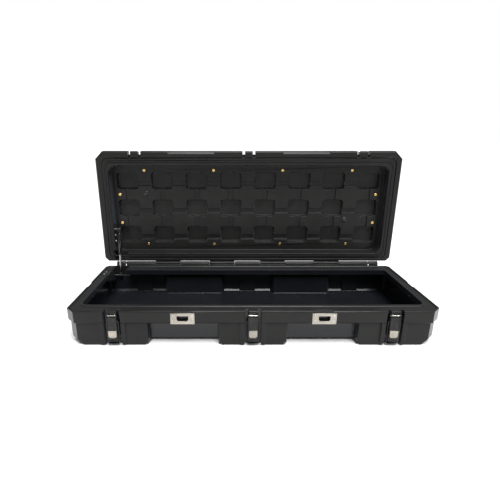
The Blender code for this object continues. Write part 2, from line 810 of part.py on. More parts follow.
def brass_insert():
    """Threaded insert: a flanged collar with a blind hole, drawn about the origin."""
    bm = bmesh.new()
    stations = (
        (0.0022, 0.0015), (0.0022, -0.0012), (0.0065, -0.0012),
        (0.0065, 0.0), (0.0040, 0.0), (0.0040, 0.0028),
    )
    loft(bm, [round_ring(radius, z, 10) for radius, z in stations])
    return begin(bm)


def vent_dome():
    """Low round dome on the lid's panel, drawn about the origin."""
    bm = bmesh.new()
    stations = ((0.0135, 0.0), (0.0130, -0.002), (0.0100, -0.0042), (0.0050, -0.0057))
    loft(bm, [round_ring(radius, z, 16) for radius, z in stations])
    return begin(bm)


def build_hinge(looks, lid):
    """Place the hinge's pin and knuckles."""
    for i, (low, high) in enumerate(BASE_KNUCKLES, 1):
        place(f"hinge_knuckle_base_{i}", finish(knuckle(low, high, False), looks["hinge"]))
    for i, (low, high) in enumerate(LID_KNUCKLES, 1):
        place(f"hinge_knuckle_lid_{i}", finish(knuckle(low, high, True), looks["hinge"], HINGE), lid)
    for i, (low, high) in enumerate(LID_KNUCKLES, 1):
        place(f"hinge_strip_{i}", finish(hinge_strip(low - 0.0007, high + 0.0007), looks["hinge"]))
    for i, sx in enumerate((-1, 1), 1):
        low, high = sorted((sx * (BASE_KNUCKLES[-1][1] + 0.0040), sx * COVER_END))
        place(f"hinge_end_cover_{i}", finish(hinge_cover(low, high), looks["hinge"]))
    place("hinge_pin", finish(hinge_pin(), looks["pin"]))


def build_latches(looks, lid):
    """Place three latches, each with a lever pivot and a bail pivot below it."""
    bracket = finish(latch_bracket(), looks["steel"])
    pin = finish(latch_pin(), looks["pin"])
    lever = finish(latch_lever(), looks["latch"], LEVER_PIVOT)
    plate = finish(latch_plate(), looks["steel"], LEVER_PIVOT)
    bail = finish(latch_bail(), looks["wire"], BAIL_PIVOT)
    catch = finish(latch_catch(), looks["steel"], HINGE)
    for i, x in enumerate(LATCH_X, 1):
        shift = Vector((x, 0.0, 0.0))
        turning = pivot_empty(f"lever_pivot_{i}", LEVER_PIVOT + shift)
        hanging = pivot_empty(f"bail_pivot_{i}", BAIL_PIVOT - LEVER_PIVOT, parent=turning)
        place(f"latch_bracket_{i}", bracket, location=shift)
        place(f"latch_pin_{i}", pin, location=shift)
        place(f"latch_lever_{i}", lever, turning)
        place(f"latch_face_plate_{i}", plate, turning)
        place(f"latch_bail_{i}", bail, hanging)
        place(f"latch_catch_{i}", catch, lid, shift)


def build_strut(looks, lid):
    """Place the gas strut and its two brackets."""
    lean = pivot_empty("strut_pivot", STRUT_BASE, -STRUT_LEAN)
    place("strut_rod", finish(strut_rod(), looks["chrome"]), lean)
    place("strut_cylinder", finish(strut_cylinder(), looks["cylinder"]), lean)
    place("strut_base_bracket", finish(strut_base_bracket(), looks["bracket"]))
    place("strut_lid_bracket", finish(strut_lid_bracket(), looks["bracket"], HINGE), lid)


def build_lid_fittings(looks, lid):
    """Place the gasket, the threaded inserts and the two domes on the lid."""
    place("lid_gasket", finish(gasket(), looks["rubber"], HINGE), lid)
    seat = SEAM_Z + LID_PANEL - GAP - HINGE.z
    insert = finish(brass_insert(), looks["brass"])
    for i, (x, reach) in enumerate(INSERTS, 1):
        place(f"brass_insert_{i:02d}", insert, lid, (x, -reach, seat))
    dome = finish(vent_dome(), looks["cap"])
    for i, (x, reach) in enumerate(DOMES, 1):
        place(f"vent_dome_{i}", dome, lid, (x, -reach, seat))


def build():
    """Build the whole case with its lid open."""
    clear_scene()
    looks = {
        "plastic": make_material("black_plastic", (0.012, 0.012, 0.013), 0.45, 0.0),
        "cap": make_material("cap_plastic", (0.014, 0.014, 0.016), 0.40, 0.0),
        "rubber": make_material("gasket_rubber", (0.010, 0.010, 0.011), 0.70, 0.0),
        "hinge": make_material("hinge_black", (0.020, 0.020, 0.022), 0.40, 0.0),
        "pin": make_material("pin_steel", (0.60, 0.58, 0.54), 0.30, 1.0),
        "steel": make_material("plate_steel", (0.55, 0.52, 0.46), 0.35, 1.0),
        "latch": make_material("latch_black", (0.020, 0.020, 0.021), 0.42, 0.3),
        "wire": make_material("bail_black", (0.030, 0.030, 0.032), 0.35, 0.6),
        "bracket": make_material("bracket_black", (0.020, 0.020, 0.021), 0.45, 0.2),
        "cylinder": make_material("strut_black", (0.015, 0.015, 0.016), 0.35, 0.0),
        "chrome": make_material("rod_chrome", (0.80, 0.80, 0.80), 0.12, 1.0),
        "brass": make_material("insert_brass", (0.72, 0.50, 0.20), 0.30, 1.0),
    }
    lid = pivot_empty("lid_pivot", HINGE, -90.0)
    place("base_shell", finish(base_shell(), looks["plastic"]))
    place("lid_shell", finish(lid_shell(), looks["plastic"], HINGE), lid)
    build_hinge(looks, lid)
    build_latches(looks, lid)
    for i, x in enumerate(LOCK_X, 1):
        place(f"lock_plate_{i}", finish(lock_plate(), looks["steel"]), location=(x, 0.0, 0.0))
    build_strut(looks, lid)
    build_lid_fittings(looks, lid)


build()
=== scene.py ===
"""Look of the long equipment case: finishes, eased mouldings, latches, hinge, strut and studio."""

from __future__ import annotations

import json
import logging
import math
from dataclasses import dataclass, field
from enum import Enum
from typing import Sequence

import bmesh
import bpy
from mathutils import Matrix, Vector


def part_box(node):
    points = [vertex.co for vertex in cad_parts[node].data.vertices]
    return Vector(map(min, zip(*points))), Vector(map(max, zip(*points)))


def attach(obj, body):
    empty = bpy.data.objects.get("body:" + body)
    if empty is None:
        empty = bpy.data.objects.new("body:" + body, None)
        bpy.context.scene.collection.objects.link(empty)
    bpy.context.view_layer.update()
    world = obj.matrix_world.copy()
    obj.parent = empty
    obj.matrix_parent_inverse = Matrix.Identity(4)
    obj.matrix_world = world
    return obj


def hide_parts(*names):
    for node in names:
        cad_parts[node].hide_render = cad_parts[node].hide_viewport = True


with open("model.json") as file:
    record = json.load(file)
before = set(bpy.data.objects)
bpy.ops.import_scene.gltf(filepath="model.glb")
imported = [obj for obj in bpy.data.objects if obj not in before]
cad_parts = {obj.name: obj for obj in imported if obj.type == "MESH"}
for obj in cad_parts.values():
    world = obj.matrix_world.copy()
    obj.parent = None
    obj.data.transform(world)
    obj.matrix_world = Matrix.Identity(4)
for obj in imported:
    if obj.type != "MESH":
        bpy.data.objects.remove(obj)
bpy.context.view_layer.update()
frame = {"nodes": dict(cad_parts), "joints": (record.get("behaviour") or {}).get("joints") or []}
LOG = logging.getLogger("case")
Profile = list[tuple[float, float]]
Colour = tuple[float, float, float]
Shape = bmesh.types.BMesh
Socket = bpy.types.NodeSocket

ALONG = Vector((1.0, 0.0, 0.0))
FORWARD = Vector((0.0, -1.0, 0.0))
UP = Vector((0.0, 0.0, 1.0))
MERGE = 0.00001
WHOLE = (1.0, 1.0, 1.0)


class Grain(Enum):
    """How a finish varies over its surface."""

    MOULDED = "moulded"
    SATIN = "satin"
    LINED = "lined"
    BRUSHED = "brushed"
    RUBBER = "rubber"
    POLISHED = "polished"


@dataclass(frozen=True)
class Finish:
    """One finish of the case, as a procedural material.

    Args:
        name: Material name, in a maker's words.
        slot: Material slot of the record that it belongs to; not used.
        colour: Main linear colour.
        second: Linear colour that the main one drifts towards.
        roughness: Lowest and highest roughness.
        metallic: 1 for bare metal.
        grain: Pattern of the surface.
        specular: Strength of the reflection, 0.5 for common plastic.
        coat: Weight of a clear coat.
        sheen: Weight of the pale bloom seen along the surface.
    """

    name: str
    slot: str
    colour: Colour
    second: Colour
    roughness: tuple[float, float]
    metallic: float = 0.0
    grain: Grain = Grain.SATIN
    specular: float = 0.5
    coat: float = 0.0
    sheen: float = 0.0

    def material(self) -> bpy.types.Material:
        """Return this finish's material, made once."""
        found = bpy.data.materials.get(self.name)
        return found if found else Bench(self).build()


@dataclass(frozen=True)
class Texture:
    """Sizes of a grain.

    Args:
        cloud: Scale of the slow drift in colour.
        fine: Scale of the fine relief.
        stretch: How the fine relief is drawn out.
        strength: Strength of the relief.
        height: Height of the relief in metres.
        scuffs: Weight of the pale marks.
    """

    cloud: float
    fine: float
    stretch: tuple[float, float, float]
    strength: float
    height: float
    scuffs: float


TEXTURES = {
    Grain.MOULDED: Texture(6.0, 420.0, WHOLE, 0.10, 0.0003, 0.30),
    Grain.LINED: Texture(5.0, 260.0, WHOLE, 0.03, 0.0002, 0.12),
    Grain.SATIN: Texture(30.0, 900.0, WHOLE, 0.12, 0.0002, 0.25),
    Grain.BRUSHED: Texture(25.0, 500.0, (0.06, 1.0, 1.0), 0.18, 0.0002, 0.30),
    Grain.RUBBER: Texture(18.0, 1100.0, WHOLE, 0.25, 0.0002, 0.10),
    Grain.POLISHED: Texture(40.0, 800.0, (1.0, 1.0, 0.08), 0.04, 0.0001, 0.12),
}


class Bench:
    """Builds one finish's node tree."""

    coat_roughness = 0.12
    sheen_roughness = 0.35
    sheen_tint = (0.72, 0.82, 1.0, 1.0)
    drift = (0.35, 0.68)
    patch_span = (0.3, 0.7)
    scuff_span = (0.62, 0.74)
    scuff_scale = 160.0
    scuff_stretch = (0.35, 1.0, 0.6)
    scuff_turn = (0.3, 0.5, 0.6)

    def __init__(self, finish: Finish) -> None:
        """Start an empty material for a finish."""
        self.finish = finish
        self.texture = TEXTURES[finish.grain]
        self.result = bpy.data.materials.new(finish.name)
        self.result.use_nodes = True
        self.tree = self.result.node_tree
        self.shader = self.tree.nodes["Principled BSDF"]
        coords = self.tree.nodes.new("ShaderNodeTexCoord")
        stretch = self.tree.nodes.new("ShaderNodeMapping")
        stretch.inputs["Scale"].default_value = self.texture.stretch
        self.tree.links.new(coords.outputs["Object"], stretch.inputs["Vector"])
        self.plain = coords.outputs["Object"]
        self.drawn = stretch.outputs["Vector"]

    def noise(self, source: Socket, scale: float, detail: float, twist: float = 0.0) -> Socket:
        """Lay a noise pattern over a coordinate.

        Args:
            source: Coordinate.
            scale: Scale of the pattern.
            detail: Octaves of the pattern.
            twist: How far it is distorted.

        Returns:
            The pattern's factor.
        """
        node = self.tree.nodes.new("ShaderNodeTexNoise")
        node.inputs["Scale"].default_value = scale
        node.inputs["Detail"].default_value = detail
        node.inputs["Distortion"].default_value = twist
        self.tree.links.new(source, node.inputs["Vector"])
        return node.outputs["Fac"]

    def spread(self, source: Socket, span: tuple[float, float], to: tuple[float, float]) -> Socket:
        """Stretch a factor from one span to another.

        Args:
            source: Factor.
            span: Its lowest and highest value that count.
            to: What these become.

        Returns:
            The new factor.
        """
        node = self.tree.nodes.new("ShaderNodeMapRange")
        for name, value in zip(("From Min", "From Max", "To Min", "To Max"), (*span, *to)):
            node.inputs[name].default_value = value
        self.tree.links.new(source, node.inputs["Value"])
        return node.outputs["Result"]

    def blend(self, factor: Socket, first: Socket | Colour, second: Socket | Colour) -> Socket:
        """Mix two colours.

        Args:
            factor: Share of the second colour.
            first: Colour, or a socket that gives one.
            second: Colour, or a socket that gives one.

        Returns:
            The mixed colour.
        """
        node = self.tree.nodes.new("ShaderNodeMix")
        node.data_type = "RGBA"
        self.tree.links.new(factor, node.inputs[0])
        for socket, colour in ((node.inputs[6], first), (node.inputs[7], second)):
            if isinstance(colour, tuple):
                socket.default_value = (*colour, 1.0)
            else:
                self.tree.links.new(colour, socket)
        return node.outputs[2]

    def scuff(self) -> Socket:
        """Lay thin drawn-out marks.

        Returns:
            Their factor, which is mostly zero.
        """
        node = self.tree.nodes.new("ShaderNodeMapping")
        node.inputs["Scale"].default_value = self.scuff_stretch
        node.inputs["Rotation"].default_value = self.scuff_turn
        self.tree.links.new(self.plain, node.inputs["Vector"])
        lines = self.noise(node.outputs["Vector"], self.scuff_scale, 3.0, 0.6)
        return self.spread(lines, self.scuff_span, (0.0, self.texture.scuffs))

    def colour(self) -> None:
        """Wire the drifting colour and its pale marks."""
        finish = self.finish
        cloud = self.noise(self.plain, self.texture.cloud, 5.0, 0.4)
        base = self.blend(self.spread(cloud, self.drift, (0.0, 1.0)), finish.colour, finish.second)
        marks = self.scuff()
        pale = tuple(min(1.0, 1.6 * part + 0.010) for part in finish.second)
        self.tree.links.new(self.blend(marks, base, pale), self.shader.inputs["Base Color"])

    def relief(self) -> None:
        """Wire the varying roughness and the fine relief."""
        inputs, texture = self.shader.inputs, self.texture
        fine = self.noise(self.drawn, texture.fine, 2.0)
        patches = self.noise(self.drawn, texture.cloud * 4.0, 4.0)
        rough = self.spread(patches, self.patch_span, self.finish.roughness)
        self.tree.links.new(rough, inputs["Roughness"])
        bump = self.tree.nodes.new("ShaderNodeBump")
        bump.inputs["Strength"].default_value = texture.strength
        bump.inputs["Distance"].default_value = texture.height
        self.tree.links.new(fine, bump.inputs["Height"])
        self.tree.links.new(bump.outputs["Normal"], inputs["Normal"])

    def build(self) -> bpy.types.Material:
        """Set the even values and wire the varying ones.

        Returns:
            The finished material.
        """
        finish = self.finish
        even = {
            "Metallic": finish.metallic,
            "Specular IOR Level": finish.specular,
            "Coat Weight": finish.coat,
            "Coat Roughness": self.coat_roughness,
            "Sheen Weight": finish.sheen,
            "Sheen Roughness": self.sheen_roughness,
            "Sheen Tint": self.sheen_tint,
        }
        for name, value in even.items():
            self.shader.inputs[name].default_value = value
        self.colour()
        self.relief()
        return self.result


SHELL = Finish(
    "moulded_black", "black_plastic",
    (0.0088, 0.0086, 0.0080), (0.0125, 0.0122, 0.0114),
    (0.30, 0.42), grain=Grain.MOULDED, specular=0.26, sheen=0.16,
)
# Inner faces of the base: the same plastic, glossier, in a darker and bluer black that is painted
# shade inside the tub.
SHELL_INSIDE_SHADED = Finish(
    "moulded_black_inside_painted_shade", "black_plastic",
    (0.0070, 0.0078, 0.0100), (0.0100, 0.0112, 0.0140),
    (0.20, 0.28), grain=Grain.LINED, specular=0.50, sheen=0.05,
)
SEAL = Finish(
    "seal_rubber", "gasket_rubber",
    (0.011, 0.011, 0.011), (0.020, 0.020, 0.020),
    (0.62, 0.80), grain=Grain.RUBBER, specular=0.35,
)
HINGE_BLACK = Finish(
    "hinge_satin_black", "hinge_black",
    (0.016, 0.016, 0.016), (0.028, 0.028, 0.029),
    (0.30, 0.48),
)
LATCH_BLACK = Finish(
    "latch_satin_black", "latch_black",
    (0.012, 0.012, 0.012), (0.024, 0.023, 0.022),
    (0.28, 0.46), specular=0.30,
)
WIRE_BLACK = Finish(
    "bail_black_oxide", "bail_black",
    (0.022, 0.022, 0.023), (0.050, 0.050, 0.052),
    (0.26, 0.42), metallic=0.7,
)
PLATE_STEEL = Finish(
    "plate_bright_zinc", "plate_steel",
    (0.50, 0.465, 0.405), (0.36, 0.335, 0.29),
    (0.26, 0.42), metallic=1.0, grain=Grain.BRUSHED,
)
PIN_STEEL = Finish(
    "pin_bright_steel", "pin_steel",
    (0.62, 0.60, 0.57), (0.50, 0.48, 0.45),
    (0.20, 0.34), metallic=1.0, grain=Grain.BRUSHED,
)
BRACKET_BLACK = Finish(
    "bracket_satin_black", "bracket_black",
    (0.013, 0.013, 0.013), (0.026, 0.026, 0.027),
    (0.30, 0.46), metallic=0.2,
)
STRUT_BLACK = Finish(
    "strut_gloss_black", "strut_black",
    (0.009, 0.009, 0.010), (0.014, 0.014, 0.015),
    (0.14, 0.26), coat=0.4,
)
ROD_CHROME = Finish(
    "rod_chrome_plate", "rod_chrome",
    (0.82, 0.82, 0.82), (0.74, 0.74, 0.75),
    (0.07, 0.14), metallic=1.0, grain=Grain.POLISHED,
)
BRASS = Finish(
    "insert_turned_brass", "insert_brass",
    (0.80, 0.56, 0.22), (0.62, 0.42, 0.15),
    (0.20, 0.34), metallic=1.0, grain=Grain.BRUSHED,
)
CAP_BLACK = Finish(
    "cap_satin_plastic", "cap_plastic",
    (0.014, 0.014, 0.016), (0.024, 0.024, 0.026),
    (0.26, 0.40),
)
BOLT_STEEL = Finish(
    "bolt_zinc", "bracket_black",
    (0.40, 0.40, 0.41), (0.26, 0.26, 0.27),
    (0.24, 0.40), metallic=1.0, grain=Grain.BRUSHED,
)


class Cut(Enum):
    """What a Boolean does with its second shape."""

    JOIN = "UNION"
    REMOVE = "DIFFERENCE"


class Shop:
    """Common ways of shaping, joining and delivering pieces."""

    @staticmethod
    def copy_of(node: str) -> Shape:
        """Copy a CAD node's surface and merge it.

        Args:
            node: Name of the node.

        Returns:
            The copy.
        """
        bm = bmesh.new()
        bm.from_mesh(frame["nodes"][node].data)
        bmesh.ops.remove_doubles(bm, verts=bm.verts, dist=MERGE)
        return bm

    @staticmethod
    def ease(bm: Shape, width: float, segments: int = 2, least: float = 24.0) -> None:
        """Round the edges that turn more than an angle.

        Args:
            bm: Shape to change.
            width: Width of the rounding.
            segments: Steps across it.
            least: Smallest turn of an edge, in degrees.
        """
        turn = math.radians(least)
        edges = [e for e in bm.edges if e.is_manifold and e.calc_face_angle(0.0) > turn]
        bmesh.ops.bevel(bm, geom=edges, offset=width, offset_type="OFFSET", segments=segments,
                        profile=0.5, affect="EDGES", clamp_overlap=False, loop_slide=False,
                        material=-1)

    @staticmethod
    def turned(profile: Profile, steps: int = 32) -> Shape:
        """Spin a profile about Z.

        Args:
            profile: Points of radius and height.
            steps: Steps round the axis.

        Returns:
            The turned shape.
        """
        bm = bmesh.new()
        verts = [bm.verts.new((radius, 0.0, height)) for radius, height in profile]
        edges = [bm.edges.new(pair) for pair in zip(verts, verts[1:])]
        bmesh.ops.spin(bm, geom=[*verts, *edges], cent=(0, 0, 0), axis=(0, 0, 1), dvec=(0, 0, 0),
                       angle=2.0 * math.pi, steps=steps, use_merge=True)
        bmesh.ops.remove_doubles(bm, verts=bm.verts, dist=MERGE / 2.0)
        bmesh.ops.recalc_face_normals(bm, faces=bm.faces)
        return bm

    @staticmethod
    def moved(bm: Shape, place: Vector, aim: Vector) -> Shape:
        """Turn a shape from +Z to a direction and move it to a place.

        Args:
            bm: Shape about the origin.
            place: Where its origin goes.
            aim: Where its +Z points.

        Returns:
            The same shape.
        """
        turn = UP.rotation_difference(aim).to_matrix()
        bmesh.ops.rotate(bm, verts=bm.verts, cent=(0, 0, 0), matrix=turn)
        bmesh.ops.translate(bm, verts=bm.verts, vec=place)
        return bm

    @staticmethod
    def block(low: Sequence[float], high: Sequence[float], radius: float) -> Shape:
        """Make a box with rounded edges.

        Args:
            low: Lowest corner.
            high: Highest corner.
            radius: Width of the rounding.

        Returns:
            The box.
        """
        low, high = Vector(low), Vector(high)
        bm = bmesh.new()
        bmesh.ops.create_cube(bm, size=1.0)
        bmesh.ops.scale(bm, vec=high - low, verts=bm.verts)
        bmesh.ops.translate(bm, vec=(low + high) / 2.0, verts=bm.verts)
        bmesh.ops.bevel(bm, geom=bm.edges, offset=radius, segments=3, profile=0.5,
                        affect="EDGES", material=-1)
        return bm

    @staticmethod
    def mesh_of(bm: Shape, name: str) -> bpy.types.Mesh:
        """Turn a shape into a mesh and free it.

        Args:
            bm: Shape.
            name: Name of the mesh.

        Returns:
            The mesh.
        """
        mesh = bpy.data.meshes.new(name)
        bm.to_mesh(mesh)
        bm.free()
        return mesh

    @classmethod
    def fused(cls, first: Shape, second: Shape, way: Cut = Cut.JOIN) -> Shape:
        """Join two shapes, or cut the second from the first.

        Args:
            first: Shape that is kept.
            second: Shape that is joined or cut away.
            way: Which of the two is done.

        Returns:
            The new shape.
        """
        objects = [bpy.data.objects.new("work", cls.mesh_of(bm, "work")) for bm in (first, second)]
        for obj in objects:
            bpy.context.scene.collection.objects.link(obj)
        step = objects[0].modifiers.new("join", "BOOLEAN")
        step.operation = way.value
        step.object = objects[1]
        graph = bpy.context.evaluated_depsgraph_get()
        result = bmesh.new()
        result.from_mesh(objects[0].evaluated_get(graph).to_mesh())
        objects[0].evaluated_get(graph).to_mesh_clear()
        for obj in objects:
            bpy.data.objects.remove(obj, do_unlink=True)
        return result

    @classmethod
    def deliver(cls, bm: Shape, name: str, finish: Finish, body: str, *nodes: str,
                smooth: float = 38.0) -> bpy.types.Object:
        """Put a finished piece in the scene.

        Args:
            bm: Shape, in its place.
            name: Name of the piece.
            finish: Finish to dress it in.
            body: CAD body it moves with.
            nodes: CAD nodes it stands for.
            smooth: Largest turn, in degrees, that is shaded smooth.

        Returns:
            The new object.
        """
        obj = bpy.data.objects.new(name, cls.mesh_of(bm, name))
        obj.data.shade_smooth()
        obj.data.set_sharp_from_angle(angle=math.radians(smooth))
        obj.data.materials.clear()
        obj.data.materials.append(finish.material())
        bpy.context.scene.collection.objects.link(obj)
        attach(obj, body)
        if nodes:
            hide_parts(*nodes)
        LOG.info("%s: %d faces on %s", name, len(obj.data.polygons), body)
        return obj

    @staticmethod
    def joint(name: str) -> tuple[Vector, Vector]:
        """Look up a joint of the frame.

        Args:
            name: Name of the joint.

        Returns:
            Its place and axis at rest.
        """
        found = next(item for item in frame["joints"] if item["name"] == name)
        return Vector(found.get("pos_m", (0.0, 0.0, 0.0))), Vector(found["axis"])

    @staticmethod
    def both_ends(end: Profile) -> Profile:
        """Return the profile of a bar from the profile of its upper end."""
        return end + [(radius, -height) for radius, height in reversed(end)]

    @staticmethod
    def flatten(obj: bpy.types.Object) -> None:
        """Shade an eased moulding so that its flat faces stay flat.

        Args:
            obj: Piece to shade.
        """
        step = obj.modifiers.new("normals", "WEIGHTED_NORMAL")
        step.keep_sharp = True
        step.weight = 60

    @staticmethod
    def middle(node: str) -> Vector:
        """Return the centre of a CAD node's box."""
        low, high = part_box(node)
        return (Vector(low) + Vector(high)) / 2.0


@dataclass
class Shells:
    """Base and lid mouldings with eased edges, the base's lip bosses and the lid's pips."""

    edge: float = 0.0016
    lid_edge: float = 0.0019
    wall: float = 0.012
    floor: float = 0.0135
    rim: float = 0.006
    boss: float = 0.006
    lip: float = 0.046
    boss_along: float = 0.175
    boss_below: float = 0.018
    rows: tuple[float, ...] = (0.3975, 0.2665, 0.1345)
    columns: tuple[float, ...] = (0.0825, 0.2474, 0.4129, 0.578)
    drop: float = 0.0396
    inward: float = 0.0135

    def build(self) -> None:
        """Build both mouldings, the bosses and the pips."""
        self.base()
        self.lid()
        self.bosses()
        self.pips()

    def base(self) -> None:
        """Ease the base moulding and give its inside a darker, bluer black that is painted shade.
        """
        bm = Shop.copy_of("base_shell")
        Shop.ease(bm, self.edge, 2)
        obj = Shop.deliver(bm, "base_moulding", SHELL, "base", "base_shell", smooth=50.0)
        self.line(obj)
        Shop.flatten(obj)

    def line(self, obj: bpy.types.Object) -> None:
        """Give the base's inner faces their glossier finish, in a darker, bluer black that is
        painted shade inside the tub.

        Args:
            obj: The base moulding.
        """
        low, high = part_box("base_shell")
        obj.data.materials.append(SHELL_INSIDE_SHADED.material())
        for face in obj.data.polygons:
            x, y, z = face.center
            between = abs(x) < high[0] - self.wall and low[1] + self.wall < y < high[1] - self.wall
            if between and low[2] + self.floor < z < high[2] - self.rim:
                face.material_index = 1

    def lid(self) -> None:
        """Ease the lid moulding."""
        bm = Shop.copy_of("lid_shell")
        Shop.ease(bm, self.lid_edge, 3)
        obj = Shop.deliver(bm, "lid_moulding", SHELL, "lid", "lid_shell", smooth=50.0)
        Shop.flatten(obj)

    def bosses(self) -> None:
        """Add a domed boss to the base's lip at each end."""
        low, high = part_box("base_shell")
        foot = -0.0005
        dome = [(0.0, 0.0030), (0.0026, 0.0027), (0.0048, 0.0015), (self.boss, foot), (0.0, foot)]
        for i, side in enumerate((-1, 1), 1):
            across = side * (high[0] - self.lip)
            place = Vector((across, low[1] + self.boss_along, high[2] - self.boss_below))
            bm = Shop.moved(Shop.turned(dome, 24), place, -side * ALONG)
            Shop.deliver(bm, f"lip_boss_{i}", SHELL, "base")

    def pips(self) -> None:
        """Add the small moulding pip at the middle of each pocket's lower ledge."""
        hinge, _ = Shop.joint("lid_hinge")
        _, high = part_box("lid_shell")
        foot = -0.0006
        pip = [(0.0, 0.0026), (0.0030, 0.0021), (0.0052, 0.0008), (0.0062, foot), (0.0, foot)]
        aim = Vector((0.0, -0.35, 1.0))
        spots = [(row, column, side) for row in range(len(self.rows))
                 for column in range(len(self.columns)) for side in (-1, 1)]
        for row, column, side in spots:
            height = hinge.z + self.rows[row] - self.drop
            place = Vector((side * self.columns[column], high[1] - self.inward, height))
            name = f"pocket_pip_{row + 1}_{column + 1}_{'l' if side < 0 else 'r'}"
            Shop.deliver(Shop.moved(Shop.turned(pip, 16), place, aim), name, SHELL, "lid")


@dataclass
class Seal:
    """Gasket seated in the lid's inner groove."""

    def build(self) -> None:
        """Ease the gasket."""
        bm = Shop.copy_of("lid_gasket")
        Shop.ease(bm, 0.0011, 3, least=40.0)
        Shop.deliver(bm, "gasket_strip", SEAL, "lid", "lid_gasket")


@dataclass
class Hinge:
    """Nine knuckles on one long pin, with leaf strips between them and a cover at each end."""

    outer: float = 0.008
    bore: float = 0.0043
    rim: float = 0.0008
    leaf: float = 0.006
    leaf_edge: float = 0.0012
    head: float = 0.0055
    steps: int = 32

    def build(self) -> None:
        """Build the knuckles, the pin and the leaves."""
        centre, _ = Shop.joint("lid_hinge")
        for body, count in (("base", 5), ("lid", 4)):
            for i in range(1, count + 1):
                self.knuckle(f"hinge_knuckle_{body}_{i}", body, centre)
        self.pin(centre)
        self.leaves()

    def leaves(self) -> None:
        """Ease the leaf strips and the end covers."""
        nodes = [f"hinge_strip_{i}" for i in (1, 2, 3, 4)]
        nodes += [f"hinge_end_cover_{i}" for i in (1, 2)]
        for node in nodes:
            bm = Shop.copy_of(node)
            Shop.ease(bm, 0.0006, 2, least=40.0)
            Shop.deliver(bm, f"{node}_eased", HINGE_BLACK, "base", node)

    def knuckle(self, node: str, body: str, centre: Vector) -> None:
        """Build one knuckle: a rounded tube joined to its leaf.

        Args:
            node: CAD node that it stands for.
            body: CAD body it moves with.
            centre: A point on the hinge's axis.
        """
        low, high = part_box(node)
        half = (high[0] - low[0]) / 2.0
        bore, outer, rim = self.bore, self.outer, self.rim
        profile = [(bore, -half), (outer - rim, -half), (outer, -half + rim), (outer, half - rim),
                   (outer - rim, half), (bore, half), (bore, -half)]
        place = Vector((Shop.middle(node).x, centre.y, centre.z))
        tube = Shop.moved(Shop.turned(profile, self.steps), place, ALONG)
        if body == "base":
            corners = (low[0], low[1], low[2]), (high[0], low[1] + self.leaf, centre.z)
        else:
            corners = (low[0], centre.y, high[2] - self.leaf), (high[0], high[1], high[2])
        leaf = Shop.block(*corners, self.leaf_edge)
        leaf = Shop.fused(leaf, self.core(centre, low[0], high[0]), Cut.REMOVE)
        Shop.deliver(Shop.fused(tube, leaf), f"{node}_tube", HINGE_BLACK, body, node)

    def core(self, centre: Vector, low: float, high: float) -> Shape:
        """Make the clear space round the pin.

        Args:
            centre: A point on the hinge's axis.
            low: Where the knuckle starts along the case.
            high: Where it ends.

        Returns:
            A bar that reaches past both ends.
        """
        low, high = low - 0.01, high + 0.01
        bar = [(0.0, low), (self.bore, low), (self.bore, high), (0.0, high)]
        place = Vector((0.0, centre.y, centre.z))
        return Shop.moved(Shop.turned(bar, self.steps), place, ALONG)

    def pin(self, centre: Vector) -> None:
        """Build the long pin with domed ends.

        Args:
            centre: A point on the hinge's axis.
        """
        low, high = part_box("hinge_pin")
        half = (high[0] - low[0]) / 2.0
        head = self.head
        end = [(0.0, half), (0.0030, half - 0.0002), (head - 0.0004, half - 0.0010),
               (head, half - 0.0016), (head, half - 0.0020), (0.0040, half - 0.0020)]
        bm = Shop.moved(Shop.turned(Shop.both_ends(end), 24), centre, ALONG)
        Shop.deliver(bm, "hinge_rod", PIN_STEEL, "base", "hinge_pin")


